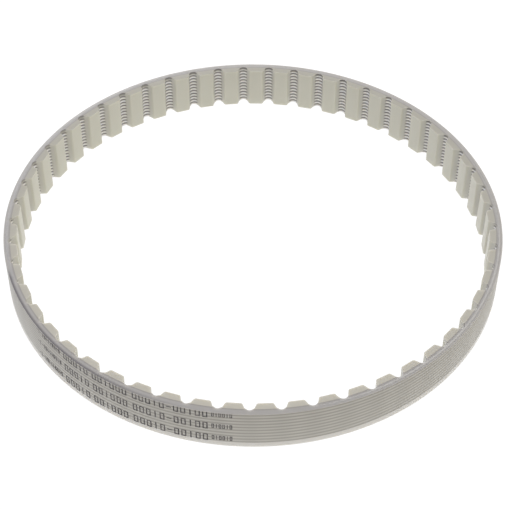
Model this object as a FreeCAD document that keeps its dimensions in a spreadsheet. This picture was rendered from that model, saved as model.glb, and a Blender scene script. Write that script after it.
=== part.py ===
"""A timing belt: an endless loop of cast polyurethane with trapezoid teeth inside and two wound steel cords.

The loop stands on its cut edge. The origin is at the loop's centre on the lower edge, and +Z runs along the
loop's axis. Millimetres throughout.
"""

import FreeCAD, Part
import math
import os

import Sketcher
from FreeCAD import Placement, Rotation, Vector

doc = FreeCAD.newDocument("timing_belt")

# ---------------------------------------------------------------- driving dimensions

SHEET_CELLS = [
    ("pitch", 10.0),  # from tooth to tooth, along the cords
    ("tooth_count", 53),
    ("belt_width", 16.0),  # between the two cut edges
    ("back_thickness", 2.0),  # from the root line to the back
    ("tooth_height", 2.5),  # from the root line to the tip
    ("tip_width", 5.0),
    ("gap_depth", 2.9),  # from the tips to the bottom of the round gap, past the root line
    ("gap_radius", 1.69),  # the round bottom of a gap, which runs into both flanks
    ("cord_height", 0.925),  # from the root line to the middle of the cords
    ("cord_diameter", 0.9),
    ("cord_lead", 2.9),  # one cord climbs this much in a turn
    ("cord_start", 34.0),  # degrees round the loop from +X to where the first cord starts
    ("edge_cover", 0.1),  # polyurethane left between a cord and a cut edge
]
sheet = doc.addObject("Spreadsheet::Sheet", "sheet")
for row, (alias, value) in enumerate(SHEET_CELLS, start=1):
    sheet.set(f"A{row}", alias)
    sheet.set(f"B{row}", str(value))
    sheet.setAlias(f"B{row}", alias)
doc.recompute()
value_of = dict(SHEET_CELLS)

# Sizes that follow from the sheet, each as an expression that reads its cells.
PITCH_RADIUS = "sheet.pitch * sheet.tooth_count / (2 * pi)"
ROOT_RADIUS = f"({PITCH_RADIUS} - sheet.cord_height)"
BACK_RADIUS = f"({ROOT_RADIUS} + sheet.back_thickness)"
TIP_RADIUS = f"({ROOT_RADIUS} - sheet.tooth_height)"
GAP_CENTRE_RADIUS = f"({TIP_RADIUS} + sheet.gap_depth - sheet.gap_radius)"

# The same sizes as numbers, for where a sketch's lines start before its constraints hold them.
pitch_radius = value_of["pitch"] * value_of["tooth_count"] / math.tau
root_radius = pitch_radius - value_of["cord_height"]
back_radius = root_radius + value_of["back_thickness"]
tip_radius = root_radius - value_of["tooth_height"]
gap_centre_radius = tip_radius + value_of["gap_depth"] - value_of["gap_radius"]
half_pitch = math.pi / value_of["tooth_count"]

START, END, CENTRE = 1, 2, 3  # the points of a sketch's line or arc
ORIGIN = (-1, 1)
V_AXIS = -2


def on_plane(body, name, role="XY_Plane"):
    """A new sketch on one of the body's own origin planes."""
    sketch = body.newObject("Sketcher::SketchObject", name)
    plane = [f for f in body.Origin.OriginFeatures if f.Role == role][0]
    sketch.AttachmentSupport = [(plane, "")]
    sketch.MapMode = "FlatFace"
    return sketch


def hold(sketch, name, expression, kind, *places):
    """A named constraint whose value follows an expression of the sheet's cells."""
    index = sketch.addConstraint(Sketcher.Constraint(kind, *places))
    sketch.renameConstraint(index, name)
    sketch.setExpression(f"Constraints.{name}", expression)


def pad_to_width(body, sketch, name):
    """Runs a sketch from the lower cut edge to the upper one."""
    pad = body.newObject("PartDesign::Pad", name)
    pad.Profile = sketch
    pad.setExpression("Length", "sheet.belt_width")
    return pad


# ---------------------------------------------------------------- the back, without its cords


def make_band():
    """The flat back: a ring with a round groove across its inside at every gap, as deep as the cords."""
    body = doc.addObject("PartDesign::Body", "band")
    ring = on_plane(body, "ring")
    for name, radius, expression in (("back", back_radius, BACK_RADIUS), ("root", root_radius, ROOT_RADIUS)):
        index = ring.addGeometry(Part.Circle(Vector(0, 0, 0), Vector(0, 0, 1), radius), False)
        ring.addConstraint(Sketcher.Constraint("Coincident", index, CENTRE, *ORIGIN))
        hold(ring, f"{name}_radius", expression, "Radius", index, radius)
    pad_to_width(body, ring, "ring_pad")

    groove = on_plane(body, "groove")
    middle = Vector(0, gap_centre_radius, 0)
    index = groove.addGeometry(Part.Circle(middle, Vector(0, 0, 1), value_of["gap_radius"]), False)
    groove.addConstraint(Sketcher.Constraint("PointOnObject", index, CENTRE, V_AXIS))
    hold(groove, "gap_radius", "sheet.gap_radius", "Radius", index, value_of["gap_radius"])
    hold(groove, "gap_centre", GAP_CENTRE_RADIUS, "DistanceY", *ORIGIN, index, CENTRE, gap_centre_radius)
    doc.recompute()
    pocket = body.newObject("PartDesign::Pocket", "groove_pocket")
    pocket.Profile = groove
    pocket.Type = "ThroughAll"
    pocket.Reversed = True
    pattern = body.newObject("PartDesign::PolarPattern", "grooves")
    pattern.Originals = [pocket]
    pattern.Axis = (groove, ["N_Axis"])
    pattern.Angle = 360
    pattern.setExpression("Occurrences", "sheet.tooth_count")
    body.Tip = pattern
    # Tooth 1 stands on the Y axis, so the first groove is half a pitch round from it.
    body.setExpression("Placement.Rotation.Angle", "180 deg / sheet.tooth_count")
    return body


# ---------------------------------------------------------------- the two cords

COIL_HEIGHT = "(sheet.belt_width - 2 * sheet.edge_cover - sheet.cord_diameter)"


def make_cord(name, start):
    """One cord: a coil of about five turns, from just inside one cut edge to just inside the other."""
    coil = doc.addObject("Part::Helix", f"{name}_line")
    coil.setExpression("Pitch", "sheet.cord_lead")
    coil.setExpression("Height", COIL_HEIGHT)
    coil.setExpression("Radius", PITCH_RADIUS)
    coil.SegmentLength = 0.2  # five edges to a turn
    section = doc.addObject("Part::Circle", f"{name}_section")
    section.setExpression("Radius", "sheet.cord_diameter / 2")
    section.Placement = Placement(Vector(pitch_radius, 0, 0), Rotation(Vector(1, 0, 0), 90))
    section.setExpression("Placement.Base.x", PITCH_RADIUS)
    tube = doc.addObject("Part::Sweep", name)
    tube.Sections = [section]
    tube.Spine = (coil, [])
    tube.Solid = True
    tube.Frenet = True
    tube.setExpression("Placement.Rotation.Angle", start)
    tube.setExpression("Placement.Base.z", "sheet.edge_cover + sheet.cord_diameter / 2")
    return tube


def lay_cords_in(band, cords):
    """The back as it is cast, with a channel round each cord."""
    solid = band
    for number, cord in enumerate(cords, start=1):
        cut = doc.addObject("Part::Cut", f"back_around_{number}_cords")
        cut.Base = solid
        cut.Tool = cord
        solid = cut
    return solid


# ---------------------------------------------------------------- the teeth


def make_tooth(number):
    """One tooth, drawn on the Y axis with its tip towards the loop's centre, and turned to its place."""
    body = doc.addObject("PartDesign::Body", f"tooth_{number:02d}")
    sketch = on_plane(body, "profile")
    half_tip = value_of["tip_width"] / 2
    gap_centre = Vector(gap_centre_radius * math.sin(half_pitch), gap_centre_radius * math.cos(half_pitch), 0)

    # Where the flank meets the round gap, and where the gap meets the root line, on the right side.
    tip_corner = Vector(half_tip, tip_radius, 0)
    to_corner = tip_corner - gap_centre
    touch_turn = math.acos(value_of["gap_radius"] / to_corner.Length)
    touch_angle = math.atan2(to_corner.y, to_corner.x) - touch_turn
    touch_offset = Vector(math.cos(touch_angle), math.sin(touch_angle), 0) * value_of["gap_radius"]
    touch = gap_centre + touch_offset
    reach = (root_radius**2 - gap_centre_radius**2 - value_of["gap_radius"] ** 2) / 2
    foot_turn = math.acos(reach / (gap_centre_radius * value_of["gap_radius"]))
    foot_angle = math.pi / 2 - half_pitch + foot_turn
    foot = gap_centre + Vector(math.cos(foot_angle), math.sin(foot_angle), 0) * value_of["gap_radius"]

    def across(point):
        return Vector(-point.x, point.y, 0)

    def arc(centre, radius, first, last):
        angles = [math.atan2(p.y - centre.y, p.x - centre.x) % math.tau for p in (first, last)]
        return Part.ArcOfCircle(Part.Circle(centre, Vector(0, 0, 1), radius), *angles)

    tip = sketch.addGeometry(Part.LineSegment(across(tip_corner), tip_corner), False)
    right_flank = sketch.addGeometry(Part.LineSegment(tip_corner, touch), False)
    left_flank = sketch.addGeometry(Part.LineSegment(across(tip_corner), across(touch)), False)
    right_foot = sketch.addGeometry(arc(gap_centre, value_of["gap_radius"], foot, touch), False)
    left_foot = sketch.addGeometry(
        arc(across(gap_centre), value_of["gap_radius"], across(touch), across(foot)), False
    )
    root = sketch.addGeometry(arc(Vector(0, 0, 0), root_radius, foot, across(foot)), False)
    spoke = sketch.addGeometry(Part.LineSegment(Vector(0, 0, 0), gap_centre), True)

    join = Sketcher.Constraint
    sketch.addConstraint(join("Coincident", tip, END, right_flank, START))
    sketch.addConstraint(join("Coincident", tip, START, left_flank, START))
    sketch.addConstraint(join("Symmetric", tip, START, tip, END, V_AXIS))
    sketch.addConstraint(join("Tangent", right_flank, END, right_foot, END))
    sketch.addConstraint(join("Tangent", left_flank, END, left_foot, START))
    sketch.addConstraint(join("Coincident", right_foot, START, root, START))
    sketch.addConstraint(join("Coincident", left_foot, END, root, END))
    sketch.addConstraint(join("Coincident", root, CENTRE, *ORIGIN))
    sketch.addConstraint(join("Coincident", spoke, START, *ORIGIN))
    sketch.addConstraint(join("Coincident", spoke, END, right_foot, CENTRE))
    sketch.addConstraint(join("Symmetric", right_foot, CENTRE, left_foot, CENTRE, V_AXIS))
    sketch.addConstraint(join("Equal", right_foot, left_foot))
    hold(sketch, "tip_width", "sheet.tip_width", "DistanceX", tip, START, tip, END, 2 * half_tip)
    hold(sketch, "tip_radius", TIP_RADIUS, "DistanceY", *ORIGIN, tip, END, tip_radius)
    hold(sketch, "root_radius", ROOT_RADIUS, "Radius", root, root_radius)
    hold(sketch, "gap_radius", "sheet.gap_radius", "Radius", right_foot, value_of["gap_radius"])
    hold(sketch, "gap_centre", GAP_CENTRE_RADIUS, "Distance", spoke, gap_centre_radius)
    spoke_angle = math.pi / 2 - half_pitch
    hold(sketch, "half_pitch", "90 deg - 180 deg / sheet.tooth_count", "Angle", spoke, spoke_angle)
    pad_to_width(body, sketch, "tooth_pad")
    body.setExpression("Placement.Rotation.Angle", f"{number - 1} * 360 deg / sheet.tooth_count")
    return body


# ---------------------------------------------------------------- the assembly

band = make_band()
cord_s = make_cord("tension_cord_s", "sheet.cord_start * 1 deg")
cord_z = make_cord("tension_cord_z", "sheet.cord_start * 1 deg + 180 deg")
back = lay_cords_in(band, [cord_s, cord_z])
back.Label = "belt_back"
teeth = [make_tooth(number) for number in range(1, value_of["tooth_count"] + 1)]
doc.recompute()

for item in doc.Objects:
    if "Invalid" in item.State or "Error" in item.State:
        raise RuntimeError(f"{item.Name} is {item.State}")

sub_parts = [back, cord_s, cord_z, *teeth]
for part in sub_parts:
    shape = part.Shape
    if shape.isNull() or not shape.isValid() or len(shape.Solids) != 1:
        raise RuntimeError(f"{part.Label} has no good solid")

# ---------------------------------------------------------------- the volumes that the shapes should have

width = value_of["belt_width"]
coil_height = width - 2 * value_of["edge_cover"] - value_of["cord_diameter"]
turns = coil_height / value_of["cord_lead"]
cord_length = turns * math.hypot(math.tau * pitch_radius, value_of["cord_lead"])
cord_volume = math.pi * value_of["cord_diameter"] ** 2 / 4 * cord_length
ring_volume = math.pi * (back_radius**2 - root_radius**2) * width
groove_volume = ring_volume - band.Shape.Volume
back_volume = ring_volume - groove_volume - 2 * cord_volume
print(f"each cord is {cord_length:.0f} mm long in {turns:.2f} turns")
print(f"cords: {cord_s.Shape.Volume:.1f} and {cord_z.Shape.Volume:.1f} mm3, expected {cord_volume:.1f}")
print(f"grooves take {groove_volume:.1f} mm3, {groove_volume / value_of['tooth_count']:.2f} each")
print(f"back: {back.Shape.Volume:.1f} mm3, expected {back_volume:.1f}")
print(f"a tooth: {teeth[0].Shape.Volume:.2f} mm3")
if groove_volume < value_of["tooth_count"]:
    raise RuntimeError("the grooves cut nothing")
if abs(back.Shape.Volume - back_volume) > 1 or abs(cord_s.Shape.Volume - cord_volume) > 1:
    raise RuntimeError("a cord or its channel has the wrong volume")

os.makedirs("parts", exist_ok=True)
for part in sub_parts:
    part.Shape.exportStep(f"parts/{part.Label}.step")
print(f"{len(sub_parts)} sub-parts written")
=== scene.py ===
# %% [markdown]
# # A cast polyurethane timing belt
# The belt is an endless loop that stands on its cut edge. It is cast round two steel cords on a ribbed core,
# slit to width with a knife, and printed on its back. The frame comes first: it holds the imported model, and
# every size below is read from it or follows from the belt's own standard profile.

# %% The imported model
import math

import bpy
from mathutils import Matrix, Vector


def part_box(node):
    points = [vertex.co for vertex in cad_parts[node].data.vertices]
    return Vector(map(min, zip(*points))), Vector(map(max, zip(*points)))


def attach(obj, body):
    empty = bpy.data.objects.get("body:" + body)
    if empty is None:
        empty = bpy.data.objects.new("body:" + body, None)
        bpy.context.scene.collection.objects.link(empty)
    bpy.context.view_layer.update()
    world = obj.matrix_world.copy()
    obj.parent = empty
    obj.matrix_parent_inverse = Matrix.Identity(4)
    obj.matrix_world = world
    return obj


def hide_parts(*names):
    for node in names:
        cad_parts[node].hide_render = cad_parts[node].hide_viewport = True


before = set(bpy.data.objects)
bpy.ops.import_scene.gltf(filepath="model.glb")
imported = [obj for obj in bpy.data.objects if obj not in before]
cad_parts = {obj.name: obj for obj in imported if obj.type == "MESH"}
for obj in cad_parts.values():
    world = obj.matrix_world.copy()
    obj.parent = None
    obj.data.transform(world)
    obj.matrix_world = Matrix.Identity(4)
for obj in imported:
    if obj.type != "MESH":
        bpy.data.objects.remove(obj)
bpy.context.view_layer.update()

MM = 0.001
tooth_names = sorted(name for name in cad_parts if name.startswith("tooth_"))
back_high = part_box("belt_back")[1]
tooth_low, tooth_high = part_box(tooth_names[0])
cord_low, cord_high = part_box("tension_cord_s")

TEETH = len(tooth_names)
PITCH_RADIUS = TEETH * 10.0 * MM / math.tau
HALF_PITCH = math.pi / TEETH
WIDTH = back_high.z
BACK_RADIUS = back_high.x
ROOT_RADIUS = tooth_high.y
TIP_RADIUS = tooth_low.y
print(f"{TEETH} teeth, {WIDTH / MM:.1f} mm wide, {BACK_RADIUS / MM:.2f} mm from the centre to the back")

# %% [markdown]
# ## The view
# A product shot of a belt looks down on the standing loop, near enough that the front is clearly larger than
# the back. The camera is set before anything is made, so that every later step can be judged through it.

# %% The camera
VIEW_DISTANCE = 0.5013
VIEW_ELEVATION = math.radians(44.85)
VIEW_AZIMUTH = math.radians(0.6)
VIEW_ROLL = math.radians(0.25)
LENS_MM = 101.5
LENS_SHIFT = (0.0038, -0.04)
NEAREST_SEEN = 0.01

middle_of_loop = Vector((0, 0, WIDTH / 2))
outward = Vector(
    (
        math.cos(VIEW_ELEVATION) * math.sin(VIEW_AZIMUTH),
        -math.cos(VIEW_ELEVATION) * math.cos(VIEW_AZIMUTH),
        math.sin(VIEW_ELEVATION),
    )
)
bpy.ops.object.camera_add(location=middle_of_loop + outward * VIEW_DISTANCE)
camera = bpy.context.object
camera.name = "camera"
camera.rotation_euler = (math.pi / 2 - VIEW_ELEVATION, 0, VIEW_AZIMUTH)
camera.rotation_euler.rotate_axis("Z", VIEW_ROLL)
camera.data.lens = LENS_MM
camera.data.shift_x, camera.data.shift_y = LENS_SHIFT
camera.data.clip_start = NEAREST_SEEN
bpy.context.scene.camera = camera
print("the camera stands", round(camera.location.z / MM), "mm above the floor")

# %% [markdown]
# ## Working by hand in code
# Most operators act on what is selected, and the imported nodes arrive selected. So each piece starts from a
# clean selection, and vertices, edges and faces are then picked by a test of their place.

# %% Helpers for selecting and starting a piece


def start_piece(name):
    """A new object at the origin that holds one vertex, open in edit mode."""
    if bpy.context.mode != "OBJECT":
        bpy.ops.object.mode_set(mode="OBJECT")
    bpy.ops.object.select_all(action="DESELECT")
    bpy.ops.mesh.primitive_plane_add(size=MM)
    piece = bpy.context.object
    piece.name = name
    piece.data.name = name
    bpy.ops.object.mode_set(mode="EDIT")
    bpy.ops.mesh.select_all(action="SELECT")
    bpy.ops.mesh.merge(type="CENTER")
    return piece


def pick(piece, kind, test):
    """Selects only the vertices, edges or faces that pass a test, and says how many there are."""
    bpy.ops.object.mode_set(mode="EDIT")
    bpy.ops.mesh.select_mode(type={"vertices": "VERT", "edges": "EDGE", "polygons": "FACE"}[kind])
    bpy.ops.mesh.select_all(action="DESELECT")
    bpy.ops.object.mode_set(mode="OBJECT")
    found = [item for item in getattr(piece.data, kind) if test(item)]
    for item in found:
        item.select = True
    bpy.ops.object.mode_set(mode="EDIT")
    return len(found)


def near(value, target, within=0.01 * MM):
    return abs(value - target) < within


# %% [markdown]
# ## One half pitch of the casting
# The core that the belt is cast on has a groove for each tooth and a rounded nose between the grooves. The
# nose leaves the round gap, and the groove leaves the tooth. Half a pitch is enough: from the middle of a
# tooth to the middle of the gap beside it. Its outline is drawn as a person would draw it: a vertex is spun
# round the nose's centre, then extruded along the flank, across the tip, out to the back, and spun along it.

# %% The outline of half a pitch
TIP_WIDTH = 5.0 * MM
GAP_DEPTH = 2.9 * MM
GAP_ROUND = 1.69 * MM
GAP_STEPS = 6
BACK_STEPS = 3

gap_way = Vector((math.sin(HALF_PITCH), math.cos(HALF_PITCH), 0))
gap_middle = gap_way * (TIP_RADIUS + GAP_DEPTH - GAP_ROUND)
gap_floor = gap_middle + gap_way * GAP_ROUND
tip_corner = Vector((TIP_WIDTH / 2, TIP_RADIUS, 0))

# The flank leaves the round gap where a line from the tip's corner just touches it.
to_corner = tip_corner - gap_middle
touch_angle = math.atan2(to_corner.y, to_corner.x) % math.tau - math.acos(GAP_ROUND / to_corner.length)
gap_sweep = touch_angle - (math.pi / 2 - HALF_PITCH)
flank_foot = gap_middle + Vector((math.cos(touch_angle), math.sin(touch_angle), 0)) * GAP_ROUND


def spin_line(centre, turn, steps):
    """Spins the selected vertex anticlockwise into an arc. The operator's own angle runs the other way."""
    bpy.ops.mesh.spin(steps=steps, angle=-turn, center=centre, axis=(0, 0, 1))


def extrude_line(step):
    bpy.ops.mesh.extrude_region_move(TRANSFORM_OT_translate={"value": step})


casting = start_piece("belt_casting")
bpy.ops.transform.translate(value=gap_floor)
spin_line(gap_middle, gap_sweep, GAP_STEPS)
extrude_line(tip_corner - flank_foot)
extrude_line((-tip_corner.x, 0, 0))
extrude_line((0, BACK_RADIUS - TIP_RADIUS, 0))
spin_line((0, 0, 0), -HALF_PITCH, BACK_STEPS)
bpy.ops.mesh.select_all(action="SELECT")
bpy.ops.mesh.edge_face_add()
flank_tilt = math.degrees(math.atan2(flank_foot.x - tip_corner.x, flank_foot.y - tip_corner.y))
print(f"the flanks lean {flank_tilt:.1f} degrees, and the gap turns {math.degrees(gap_sweep):.1f} each side")

# %% [markdown]
# ## From the outline to the loop
# The outline is pulled up by the belt's width. The faces where two pitches meet are deleted, so that the
# finished casting is one skin. The tip's corner gets a small round, as a cast part has. The round gap needs
# many rows for its ribs, so only its upright edges are subdivided: the flat flank beside it stays one face.

# %% Half a pitch in three dimensions
TIP_ROUND = 0.4 * MM
CORD_SPACING = 1.45 * MM
ROWS_PER_RIB = 8
ROWS = round(ROWS_PER_RIB * WIDTH / CORD_SPACING)
MERGE_WITHIN = 0.002 * MM

bpy.ops.mesh.select_all(action="SELECT")
bpy.ops.mesh.extrude_region_move(TRANSFORM_OT_translate={"value": (0, 0, WIDTH)})


def upright_at(test):
    """A test for edges that run along the belt's width, at a place in the outline that passes another."""

    def passes(edge):
        low, high = (casting.data.vertices[index].co for index in edge.vertices)
        return near(low.x, high.x) and near(low.y, high.y) and abs(low.z - high.z) > MM and test(low)

    return passes


def is_end_face(face):
    """On the middle plane of the tooth, or on that of the gap."""
    points = [casting.data.vertices[index].co for index in face.vertices]
    side = Vector((math.cos(HALF_PITCH), -math.sin(HALF_PITCH), 0))
    return all(near(p.x, 0) for p in points) or all(near(p.dot(side), 0) for p in points)


print(pick(casting, "polygons", is_end_face), "end faces go")
bpy.ops.mesh.delete(type="ONLY_FACE")
print(pick(casting, "edges", upright_at(lambda p: (p.xy - tip_corner.xy).length < 0.01 * MM)), "tip corner")
bpy.ops.mesh.bevel(offset=TIP_ROUND, segments=3, affect="EDGES")
in_gap = upright_at(lambda p: near((p.xy - gap_middle.xy).length, GAP_ROUND))
print(pick(casting, "edges", in_gap), "upright edges in the gap")
bpy.ops.mesh.subdivide(number_cuts=ROWS - 1)

# %% The whole loop
bpy.ops.object.mode_set(mode="OBJECT")
mirror = casting.modifiers.new("other_half", "MIRROR")
mirror.use_axis = (True, False, False)
mirror.merge_threshold = MERGE_WITHIN
bpy.ops.object.modifier_apply(modifier=mirror.name)
bpy.ops.object.mode_set(mode="EDIT")
bpy.ops.mesh.select_all(action="SELECT")
bpy.ops.mesh.spin(
    steps=TEETH - 1, dupli=True, angle=math.tau * (TEETH - 1) / TEETH, center=(0, 0, 0), axis=(0, 0, 1)
)
bpy.ops.mesh.select_all(action="SELECT")
bpy.ops.mesh.remove_doubles(threshold=MERGE_WITHIN)
bpy.ops.mesh.normals_make_consistent(inside=False)
bpy.ops.object.mode_set(mode="OBJECT")
print(len(casting.data.polygons), "faces in the loop")

# %% [markdown]
# ## The knife-cut rims
# The belt is slit from a wide sleeve with a knife, which leaves a nearly sharp edge that handling dulls. A
# very small bevel on the outer rims catches the light there.

# %% Dull the outer rims
RIM_DULL = 0.12 * MM


def on_outer_rim(edge):
    points = [casting.data.vertices[index].co for index in edge.vertices]
    outside = all(near(p.xy.length, BACK_RADIUS, 0.05 * MM) for p in points)
    return outside and (all(near(p.z, 0) for p in points) or all(near(p.z, WIDTH) for p in points))


print(pick(casting, "edges", on_outer_rim), "rim edges")
bpy.ops.mesh.bevel(offset=RIM_DULL, segments=2, affect="EDGES")
bpy.ops.object.mode_set(mode="OBJECT")

# %% [markdown]
# ## Ribs in the gaps
# The core's noses are threaded, so that they hold the cords apart while they are wound. Each thread leaves a
# rib of polyurethane across the gap, and the cord lies in the valley beside it, nearly bare. The cords climb
# as a two-start screw, so the ribs do too. Moving the vertices by a formula gives the same climb all round.

# %% Press the ribs into the gap floors
CORD_LEAD = 2 * CORD_SPACING
CORD_START = math.radians(34)
START_HEIGHT = cord_low.z + (cord_high.x - PITCH_RADIUS)
RIB_CREST = 0.32 * MM
VALLEY = 0.16 * MM
RIB_FADE = (0.72, 0.98)


def smooth_step(low, high, value):
    part = min(max((value - low) / (high - low), 0), 1)
    return part * part * (3 - 2 * part)


def rib_at(angle, height):
    """0 over a cord and 1 midway between two cords, at an angle round the loop."""
    phase = (height - START_HEIGHT - CORD_LEAD * (angle - CORD_START) / math.tau) / CORD_SPACING
    return 0.5 - 0.5 * math.cos(math.tau * phase)


moved = 0
for vertex in casting.data.vertices:
    angle = math.atan2(vertex.co.y, vertex.co.x)
    from_tooth = (angle - math.pi / 2) / (2 * HALF_PITCH)
    gap_angle = math.pi / 2 + (math.floor(from_tooth) + 0.5) * 2 * HALF_PITCH
    centre = Vector((math.cos(gap_angle), math.sin(gap_angle), 0)) * gap_middle.length
    arm = Vector((vertex.co.x, vertex.co.y, 0)) - centre
    if near(arm.length, GAP_ROUND, 0.02 * MM):
        turn = abs(arm.angle(centre)) / gap_sweep
        fade = 1 - smooth_step(*RIB_FADE, turn)
        lift = (RIB_CREST + VALLEY) * rib_at(angle, vertex.co.z) - VALLEY
        vertex.co -= arm.normalized() * lift * fade
        moved += 1
bpy.ops.object.shade_smooth_by_angle(angle=math.radians(40))
print(moved, "vertices moved into ribs")

# %% [markdown]
# ## The tension cords
# Each cord is a steel strand: a core wire with six wires laid round it, one cord laid left and the other laid
# right so that the belt runs true. The strand's outline is a circle with six lobes. The Screw modifier winds
# it through the belt, and the lobes are then turned about the strand as they go along it. The knife that
# slits the sleeve also slices along a cord for about three tenths of a turn, so both ends thin out at the
# cut edges, where they stand a hair proud.

# %% The two strands
CORD_RADIUS = 0.45 * MM
CORD_LAY = 12.0 * MM
CORD_LOBES = 6
LOBE_DEPTH = 0.06 * MM
LAY_STEP = 0.5 * MM
THIN_END = 0.05 * MM
OVERRUN = CORD_RADIUS - THIN_END
PROUD_OF_CUT = 0.02 * MM


def slice_flat(out, height, line_height):
    """What stands past a cut edge is drawn back onto it, towards the part of the section left inside."""
    for edge, way in ((-PROUD_OF_CUT, -1), (WIDTH + PROUD_OF_CUT, 1)):
        if (height - edge) * way > 0:
            left_inside = (edge + line_height - way * CORD_RADIUS) / 2
            out *= (edge - left_inside) / (height - left_inside)
            height = edge
    return out, height


def make_strand(name, first_angle, lay_way):
    """One cord from edge to edge: a lobed section, screwed up through the belt, twisted, and sliced flush."""
    bpy.ops.object.select_all(action="DESELECT")
    bpy.ops.mesh.primitive_circle_add(vertices=2 * CORD_LOBES, radius=CORD_RADIUS)
    strand = bpy.context.object
    strand.name = name
    strand.data.name = name
    for index, vertex in enumerate(strand.data.vertices):
        if index % 2:
            vertex.co *= 1 - LOBE_DEPTH / CORD_RADIUS
    bpy.ops.object.mode_set(mode="EDIT")
    bpy.ops.mesh.select_all(action="SELECT")
    bpy.ops.transform.rotate(value=math.pi / 2, orient_axis="X", center_override=(0, 0, 0))
    bpy.ops.transform.translate(value=(PITCH_RADIUS, 0, -OVERRUN))
    bpy.ops.object.mode_set(mode="OBJECT")
    turns = (WIDTH + 2 * OVERRUN) / CORD_LEAD
    along = turns * math.tau * PITCH_RADIUS
    rings = round(along / LAY_STEP)
    screw = strand.modifiers.new("winding", "SCREW")
    screw.angle = math.tau * turns
    screw.screw_offset = CORD_LEAD * turns
    screw.steps = rings
    screw.render_steps = rings
    screw.use_merge_vertices = False
    bpy.ops.object.modifier_apply(modifier=screw.name)

    # The lobes turn about the strand's own line, once in each lay.
    start_angle = first_angle - (OVERRUN + START_HEIGHT) / CORD_LEAD * math.tau
    for index, vertex in enumerate(strand.data.vertices):
        travelled = math.tau * turns * (index // (2 * CORD_LOBES)) / rings
        line_height = CORD_LEAD * travelled / math.tau - OVERRUN
        out = vertex.co.xy.length - PITCH_RADIUS
        up = vertex.co.z - line_height
        twist = lay_way * math.tau * travelled * PITCH_RADIUS / CORD_LAY
        height = line_height + out * math.sin(twist) + up * math.cos(twist)
        out, height = slice_flat(out * math.cos(twist) - up * math.sin(twist), height, line_height)
        reach = PITCH_RADIUS + out
        turned = start_angle + travelled
        vertex.co = Vector((reach * math.cos(turned), reach * math.sin(turned), height))
    bpy.ops.object.mode_set(mode="EDIT")
    bpy.ops.mesh.select_mode(type="EDGE")
    bpy.ops.mesh.select_all(action="DESELECT")
    bpy.ops.mesh.select_non_manifold()
    bpy.ops.mesh.edge_face_add()
    bpy.ops.mesh.select_all(action="SELECT")
    bpy.ops.mesh.normals_make_consistent(inside=False)
    bpy.ops.object.mode_set(mode="OBJECT")
    bpy.ops.object.shade_smooth_by_angle(angle=math.radians(50))
    print(name, "is", round(along / MM), "mm long with", len(strand.data.polygons), "faces")
    return strand


strand_s = make_strand("strand_s", CORD_START, 1)
strand_z = make_strand("strand_z", CORD_START + math.pi, -1)

# %% [markdown]
# ## The printed marking
# The back carries three rows of ink, one for each of the narrow belts that the sleeve could be slit into. The
# knife has sliced the top row. The maker's characters are replaced by plain marks that spell nothing: hollow
# boxes, upright bars and short dashes, all made of one kind of stroke. The flat rows are then rolled onto the
# back.

# %% Rows of ink marks
INK_THICKNESS = 0.015 * MM
INK_LIFT = 0.004 * MM
ROW_HEIGHTS = (2.0 * MM, 7.7 * MM, 13.3 * MM)
ROW_END = math.radians(266.7)
PRINT_START = math.radians(197)
STYLES = {
    "small": {
        "stroke": 0.26 * MM,
        "height": 2.0 * MM,
        "width": 0.8 * MM,
        "step": 1.12 * MM,
        "lift": 0.8 * MM,
    },
    "tall": {
        "stroke": 0.38 * MM,
        "height": 3.1 * MM,
        "width": 1.6 * MM,
        "step": 2.3 * MM,
        "lift": 0.0,
    },
}
# The two gaps of 1.6 are in metres: each runs about three times round, so the last three groups overlap.
MARK_GROUPS = (
    ("small", "oiooio", 0.5 * MM),
    ("tall", "ooioo-oiooo", 1.3 * MM),
    ("tall", "oooioo", 1.1 * MM),
    ("tall", "oiooo", 1.4 * MM),
    ("small", "oi-oi-i-i", 1.6),
    ("small", "i-oi-i-oi-i-", 1.6),
    ("small", "i-i-oi", 0.0),
)


def stroke(left, right, bottom, top):
    """One flat stroke of ink in X and Z. Ink above the cut edge went with the next belt."""
    top = min(top, WIDTH - RIM_DULL)
    if top <= bottom:
        return []
    bpy.ops.mesh.primitive_cube_add(size=1)
    bpy.ops.object.mode_set(mode="EDIT")
    bpy.ops.transform.resize(value=(right - left, INK_THICKNESS, top - bottom))
    bpy.ops.transform.translate(value=((left + right) / 2, 0, (top + bottom) / 2))
    bpy.ops.object.mode_set(mode="OBJECT")
    return [bpy.context.object]


def ink_mark(kind, left, bottom, style):
    """A hollow box, an upright bar or a dash, in the space of one character."""
    right = left + style["width"]
    top = bottom + style["height"]
    thick = style["stroke"]
    if kind == "i":
        middle = (left + right) / 2
        return stroke(middle - thick / 2, middle + thick / 2, bottom, top)
    if kind == "-":
        middle = (bottom + top) / 2
        return stroke(left, right, middle - thick / 2, middle + thick / 2)
    sides = stroke(left, left + thick, bottom, top) + stroke(right - thick, right, bottom, top)
    foot = stroke(left + thick, right - thick, bottom, bottom + thick)
    return sides + foot + stroke(left + thick, right - thick, top - thick, top)


strokes = []
for row_height in ROW_HEIGHTS:
    place = 0.0
    for style_name, kinds, gap_after in MARK_GROUPS:
        style = STYLES[style_name]
        for kind in kinds:
            place -= style["step"]
            strokes += ink_mark(kind, place, row_height + style["lift"], style)
        place -= gap_after
bpy.ops.object.select_all(action="DESELECT")
for piece in strokes:
    piece.select_set(True)
bpy.context.view_layer.objects.active = strokes[0]
bpy.ops.object.join()
marking = bpy.context.object
marking.name = "ink_marking"
marking.data.name = "ink_marking"
for vertex in marking.data.vertices:
    turned = ROW_END + vertex.co.x / BACK_RADIUS
    reach = BACK_RADIUS + INK_LIFT - vertex.co.y + INK_THICKNESS / 2
    vertex.co = Vector((reach * math.cos(turned), reach * math.sin(turned), vertex.co.z))
print(len(strokes), "strokes in", len(ROW_HEIGHTS), "rows")

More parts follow.
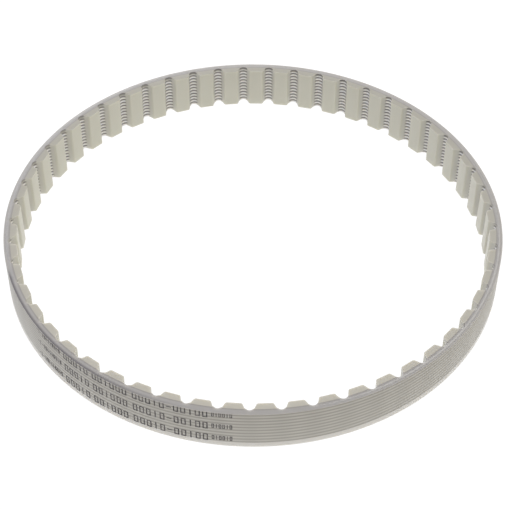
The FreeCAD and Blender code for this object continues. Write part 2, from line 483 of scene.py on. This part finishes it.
# %% [markdown]
# ## Finishes
# One function turns the colours as an eye reads them into the linear values that the shader wants, and one
# adds a node with its settings and links.

# %% Helpers for materials


def paint(hex_colour):
    """An sRGB colour, written as six hex digits, as linear RGBA."""
    parts = [int(hex_colour[place : place + 2], 16) / 255 for place in (0, 2, 4)]
    return (*[p / 12.92 if p <= 0.04045 else ((p + 0.055) / 1.055) ** 2.4 for p in parts], 1.0)


def add(tree, kind, links=None, **settings):
    """Adds a node. A setting is a property, links holds what goes into each input: a value or a socket."""
    node = tree.nodes.new(kind)
    for name, value in settings.items():
        setattr(node, name, value)
    for name, value in (links or {}).items():
        if isinstance(value, bpy.types.NodeSocket):
            tree.links.new(value, node.inputs[name])
        else:
            node.inputs[name].default_value = value
    return node


def sum_up(tree, operation, *values):
    """The result of one sum of the Math node."""
    return add(tree, "ShaderNodeMath", dict(enumerate(values)), operation=operation).outputs["Value"]


def ramp_between(tree, value, low, high):
    """0 below low, 1 above high, and a smooth step between them."""
    node = add(
        tree,
        "ShaderNodeMapRange",
        {"Value": value, "From Min": low, "From Max": high},
        interpolation_type="SMOOTHSTEP",
    )
    return node.outputs["Result"]


def blend_colours(tree, part, first, second):
    """The first colour where part is 0, the second where it is 1."""
    node = add(tree, "ShaderNodeMix", {"Factor": part}, data_type="RGBA")
    for socket, value in ((node.inputs[6], first), (node.inputs[7], second)):
        if isinstance(value, bpy.types.NodeSocket):
            tree.links.new(value, socket)
        else:
            socket.default_value = value
    return node.outputs[2]


def new_material(name):
    material = bpy.data.materials.new(name)
    material.use_nodes = True
    tree = material.node_tree
    return material, tree, tree.nodes["Principled BSDF"]


def finish_with(piece, material):
    piece.data.materials.clear()
    piece.data.materials.append(material)


# %% [markdown]
# ### Cast polyurethane
# Thermoset polyurethane leaves the mould milky and a little grey-yellow, with a satin skin. Light goes about
# a millimetre into it. Three things show through the skin: the cords as faint dark lines on the back, the
# cords close under the valleys of the gaps, and the band that they take up in the cut edges.
#
# Several differences of light are painted as colours here, so they stay the same from every side: the back is
# darker over the gaps and paler at its foot, the thin flanks of the gaps are lighter, the rib crests carry a
# painted highlight and their valleys painted shade besides the steel close under them, the ribs are duller by
# the upper edge, the teeth's cut faces grow lighter towards the near side, and a dark line follows the outer
# corner along the print.

# %% Where the polyurethane changes
CLOUD_SCALE = 90.0
BACK_SKIN = (ROOT_RADIUS + 1.7 * MM, BACK_RADIUS - 0.05 * MM)
FOOT_TOP = (1.9 * MM, 2.4 * MM)
FIRST_TOOTH_TURN = 0.25
GAP_SHADE = 0.06
CORD_LINE = (0.25, 0.85)
FLANK_GLOW = (TIP_RADIUS + 0.3 * MM, TIP_RADIUS + 1.4 * MM)
GAP_END = ROOT_RADIUS + 0.75 * MM
RIB_FOOT = (ROOT_RADIUS - 0.6 * MM, ROOT_RADIUS - 0.1 * MM)
RIB_SLOPE = (0.2, 0.85)
UPPER_EDGE = (WIDTH - 1.5 * MM, WIDTH - 0.7 * MM)
CUT_FACES = (0.85, 0.95)
ROOT_LINE = ROOT_RADIUS + 0.05 * MM
ROOT_LINE_FADE = (0.1 * MM, 0.35 * MM)
CORD_LAYER = (ROOT_LINE, ROOT_RADIUS + 0.35 * MM)
NEAR_TO_FAR = (-85.0 * MM, 40.0 * MM)
PRINT_TURN = (PRINT_START - math.tau) / math.tau
PRINT_FADES_IN = (PRINT_TURN, PRINT_TURN + 0.01)
PRINT_FADES_OUT = (-0.36, -0.27)
OUTER_CORNER = (BACK_RADIUS - 1.2 * MM, BACK_RADIUS - 0.3 * MM)
CORNER_SHADE = 0.8
GRAIN_SCALE = 1400.0
GRAIN_STRENGTH = 0.12
GRAIN_DEPTH = 0.05 * MM

# %% The polyurethane
polyurethane, tree, shader = new_material("cast_polyurethane_natural")
place = add(tree, "ShaderNodeTexCoord").outputs["Object"]
split = add(tree, "ShaderNodeSeparateXYZ", {0: place})
turn = sum_up(
    tree, "DIVIDE", sum_up(tree, "ARCTAN2", split.outputs["Y"], split.outputs["X"]), math.tau
)
flat_place = add(
    tree, "ShaderNodeVectorMath", {0: place, 1: (1.0, 1.0, 0.0)}, operation="MULTIPLY"
).outputs["Vector"]
radius = add(tree, "ShaderNodeVectorMath", {0: flat_place}, operation="LENGTH").outputs["Value"]
height = split.outputs["Z"]

climb = sum_up(tree, "MULTIPLY_ADD", turn, CORD_LEAD, START_HEIGHT - CORD_LEAD * CORD_START / math.tau)
cord_count = sum_up(tree, "DIVIDE", sum_up(tree, "SUBTRACT", height, climb), CORD_SPACING)
phase = sum_up(tree, "FRACT", cord_count)
cord_nearness = sum_up(
    tree, "MULTIPLY", sum_up(tree, "ABSOLUTE", sum_up(tree, "SUBTRACT", phase, 0.5)), 2.0
)
past_first_cord = ramp_between(tree, height, *FOOT_TOP)

cloud = add(tree, "ShaderNodeTexNoise", {"Vector": place, "Scale": CLOUD_SCALE, "Detail": 3.0}).outputs["Fac"]
body_colour = blend_colours(tree, cloud, paint("CBC9BA"), paint("D2D0C2"))

# The back: thin dark lines over the cords, painted shade over the gaps behind it, and a paler foot below the
# first cord, which is painted light.
on_back = ramp_between(tree, radius, *BACK_SKIN)
back_plain = blend_colours(tree, cloud, paint("BDBAB1"), paint("C4C1B8"))
from_first = sum_up(tree, "SUBTRACT", turn, FIRST_TOOTH_TURN)
tooth_wave = sum_up(tree, "COSINE", sum_up(tree, "MULTIPLY", from_first, math.tau * TEETH))
gap_shade = sum_up(tree, "MULTIPLY_ADD", tooth_wave, -GAP_SHADE, GAP_SHADE)
back_plain = blend_colours(tree, gap_shade, back_plain, paint("8F8C86"))
line_part = sum_up(tree, "MULTIPLY", ramp_between(tree, cord_nearness, *CORD_LINE), past_first_cord)
back_colour = blend_colours(tree, line_part, back_plain, paint("A29E95"))
# Painted light: the foot below the first cord is paler.
back_colour = blend_colours(tree, past_first_cord, paint("D8D5CE"), back_colour)
colour = blend_colours(tree, on_back, body_colour, back_colour)

# The gaps: painted light makes the thin flanks lighter, as if light came through them. The rib crests carry a
# painted highlight, and the valleys are darker, partly from the steel close under them and partly from
# painted shade.
painted_flank_light = sum_up(
    tree,
    "MULTIPLY",
    ramp_between(tree, radius, *FLANK_GLOW),
    sum_up(tree, "LESS_THAN", radius, GAP_END),
)
colour = blend_colours(tree, painted_flank_light, colour, paint("CFCDC3"))
in_ribs = sum_up(
    tree,
    "MULTIPLY",
    ramp_between(tree, radius, *RIB_FOOT),
    sum_up(tree, "LESS_THAN", radius, GAP_END),
)
# Painted shade dulls the crests' highlight by the upper edge.
by_edge = ramp_between(tree, height, *UPPER_EDGE)
crest_highlight = blend_colours(tree, by_edge, paint("FFFDF8"), paint("B5B3A9"))
rib_slope = ramp_between(tree, cord_nearness, *RIB_SLOPE)
rib_highlight_and_shade = blend_colours(tree, rib_slope, crest_highlight, paint("96928E"))
colour = blend_colours(tree, in_ribs, colour, rib_highlight_and_shade)

# The cut edges: the cords' layer is greyer than the teeth, and a fine dark line parts the two.
facing = add(tree, "ShaderNodeSeparateXYZ", {0: add(tree, "ShaderNodeNewGeometry").outputs["Normal"]})
on_cut = ramp_between(tree, sum_up(tree, "ABSOLUTE", facing.outputs["Z"]), *CUT_FACES)
cord_layer = ramp_between(tree, radius, *CORD_LAYER)
from_root = sum_up(tree, "ABSOLUTE", sum_up(tree, "SUBTRACT", radius, ROOT_LINE))
root_line = sum_up(tree, "SUBTRACT", 1.0, ramp_between(tree, from_root, *ROOT_LINE_FADE))
# Painted light: the teeth's cut faces grow lighter towards the near side.
near_side = sum_up(tree, "SUBTRACT", 1.0, ramp_between(tree, split.outputs["Y"], *NEAR_TO_FAR))
backlit_tooth_cut = blend_colours(tree, near_side, paint("B8B6AA"), paint("CCC9BC"))
cut_colour = blend_colours(tree, cord_layer, backlit_tooth_cut, paint("B7B5B1"))
cut_colour = blend_colours(tree, root_line, cut_colour, paint("AAA7A2"))

# Painted shade: the dark line at the outer corner begins with the print and fades out along it.
begun = ramp_between(tree, turn, *PRINT_FADES_IN)
ended = ramp_between(tree, turn, *PRINT_FADES_OUT)
in_print = sum_up(tree, "MULTIPLY", begun, sum_up(tree, "SUBTRACT", 1.0, ended))
at_corner = ramp_between(tree, radius, *OUTER_CORNER)
corner_shade = sum_up(tree, "MULTIPLY", sum_up(tree, "MULTIPLY", in_print, at_corner), CORNER_SHADE)
cut_colour = blend_colours(tree, corner_shade, cut_colour, paint("6F6C6E"))
colour = blend_colours(tree, on_cut, colour, cut_colour)

grain = add(tree, "ShaderNodeTexNoise", {"Vector": place, "Scale": GRAIN_SCALE, "Detail": 3.0}).outputs["Fac"]
bump = add(
    tree, "ShaderNodeBump", {"Height": grain, "Strength": GRAIN_STRENGTH, "Distance": GRAIN_DEPTH}
)
roughness = sum_up(tree, "MULTIPLY_ADD", cloud, 0.2, 0.36)
tree.links.new(colour, shader.inputs["Base Color"])
tree.links.new(roughness, shader.inputs["Roughness"])
tree.links.new(bump.outputs["Normal"], shader.inputs["Normal"])
shader.inputs["IOR"].default_value = 1.5
shader.inputs["Specular IOR Level"].default_value = 0.3
shader.inputs["Subsurface Weight"].default_value = 0.6
shader.inputs["Subsurface Radius"].default_value = (1.0, 0.95, 0.85)
shader.inputs["Subsurface Scale"].default_value = 1.5 * MM
print("polyurethane has", len(tree.nodes), "nodes")

# %% [markdown]
# ### Steel cord and ink
# The cord's wires are drawn steel that has dulled a little. The ink is a matt charcoal film that wore where
# the belt was handled, and it is paler towards its left end.

# %% The steel and the ink
TARNISH_SCALE = 900.0
WEAR_SCALE = 700.0
WEAR = (0.42, 0.68)
FAINT_END = (-75.0 * MM, -50.0 * MM)

steel, tree, shader = new_material("drawn_steel_strand")
place = add(tree, "ShaderNodeTexCoord").outputs["Object"]
tarnish = add(
    tree, "ShaderNodeTexNoise", {"Vector": place, "Scale": TARNISH_SCALE, "Detail": 2.0}
).outputs["Fac"]
tree.links.new(
    blend_colours(tree, tarnish, paint("9F9E9C"), paint("C2C1BE")), shader.inputs["Base Color"]
)
tree.links.new(sum_up(tree, "MULTIPLY_ADD", tarnish, 0.2, 0.35), shader.inputs["Roughness"])
shader.inputs["Metallic"].default_value = 1.0

ink, tree, shader = new_material("charcoal_marking_ink")
place = add(tree, "ShaderNodeTexCoord").outputs["Object"]
ink_fade = add(tree, "ShaderNodeTexNoise", {"Vector": place, "Scale": WEAR_SCALE, "Detail": 4.0}).outputs["Fac"]
ink_fade = ramp_between(tree, ink_fade, *WEAR)
split = add(tree, "ShaderNodeSeparateXYZ", {0: place})
# The ink is paler towards its left end.
faint_end = sum_up(tree, "SUBTRACT", 1.0, ramp_between(tree, split.outputs["X"], *FAINT_END))
ink_fade = sum_up(tree, "MAXIMUM", ink_fade, faint_end)
ink_colour = blend_colours(tree, ink_fade, paint("3B3738"), paint("76716E"))
tree.links.new(ink_colour, shader.inputs["Base Color"])
tree.links.new(sum_up(tree, "MULTIPLY_ADD", ink_fade, 0.15, 0.6), shader.inputs["Roughness"])

finish_with(casting, polyurethane)
finish_with(strand_s, steel)
finish_with(strand_z, steel)
finish_with(marking, ink)

# %% [markdown]
# ## Light and floor
# The belt stands on a lit white table, so it throws no shadow. The room's light is soft: strong from above
# and behind, fair from the right, and weak from the left and from where the camera stands. A low lamp stands
# behind the loop and to its left, and lights the far rim and the near teeth from behind.

# %% The lit table
FLOOR_SIZE = 6.0
FLOOR_DROP = 0.04 * MM

bpy.ops.object.select_all(action="DESELECT")
bpy.ops.mesh.primitive_plane_add(size=FLOOR_SIZE, location=(0, 0, -FLOOR_DROP))
floor = bpy.context.object
floor.name = "floor"
table, tree, shader = new_material("lit_white_table")
shader.inputs["Base Color"].default_value = (0.05, 0.05, 0.05, 1)
shader.inputs["Roughness"].default_value = 0.9
shader.inputs["Emission Color"].default_value = (1, 1, 1, 1)
shader.inputs["Emission Strength"].default_value = 1.0
finish_with(floor, table)

# %% The soft room
ROOM_LIGHT = 0.24
FROM_RIGHT = 0.08
FROM_BEHIND = 0.75
FROM_ABOVE = 0.74
DARKEST = 0.04
COOL_TO_WARM = (-0.8, 0.3)

world = bpy.data.worlds.new("studio")
world.use_nodes = True
tree = world.node_tree
way = add(tree, "ShaderNodeSeparateXYZ", {0: add(tree, "ShaderNodeTexCoord").outputs["Generated"]})
light = sum_up(tree, "MULTIPLY_ADD", way.outputs["X"], FROM_RIGHT, ROOM_LIGHT)
light = sum_up(tree, "MULTIPLY_ADD", sum_up(tree, "MAXIMUM", way.outputs["Y"], 0.0), FROM_BEHIND, light)
light = sum_up(tree, "MULTIPLY_ADD", sum_up(tree, "MAXIMUM", way.outputs["Z"], 0.0), FROM_ABOVE, light)
light = sum_up(tree, "MAXIMUM", light, DARKEST)
warmth = ramp_between(tree, way.outputs["X"], *COOL_TO_WARM)
tint = blend_colours(tree, warmth, paint("EDEEFF"), paint("FFFCF8"))
tree.links.new(light, tree.nodes["Background"].inputs["Strength"])
tree.links.new(tint, tree.nodes["Background"].inputs["Color"])
bpy.context.scene.world = world

# %% A low lamp behind the loop
LAMP_PLACE = Vector((-0.18, 0.30, 0.07))
LAMP_POWER = 0.25
LAMP_SIZE = (0.5, 0.12)

bpy.ops.object.light_add(type="AREA", location=LAMP_PLACE)
lamp = bpy.context.object
lamp.name = "low_back_lamp"
lamp.data.shape = "RECTANGLE"
lamp.data.size, lamp.data.size_y = LAMP_SIZE
lamp.data.energy = LAMP_POWER
lamp.rotation_euler = (LAMP_PLACE - Vector((0, BACK_RADIUS, WIDTH))).to_track_quat("Z", "Y").to_euler()
bpy.context.scene.view_settings.view_transform = "Standard"

# %% [markdown]
# ## Hand the pieces to the frame
# The casting stands for the imported back and all the teeth, each strand for its plain rod.

# %% Ride and replace
for piece, slot in (
    (casting, "polyurethane"),
    (strand_s, "steel_cord"),
    (strand_z, "steel_cord"),
    (marking, "polyurethane"),
):
    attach(piece, "root")
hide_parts("belt_back", *tooth_names)
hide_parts("tension_cord_s")
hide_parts("tension_cord_z")
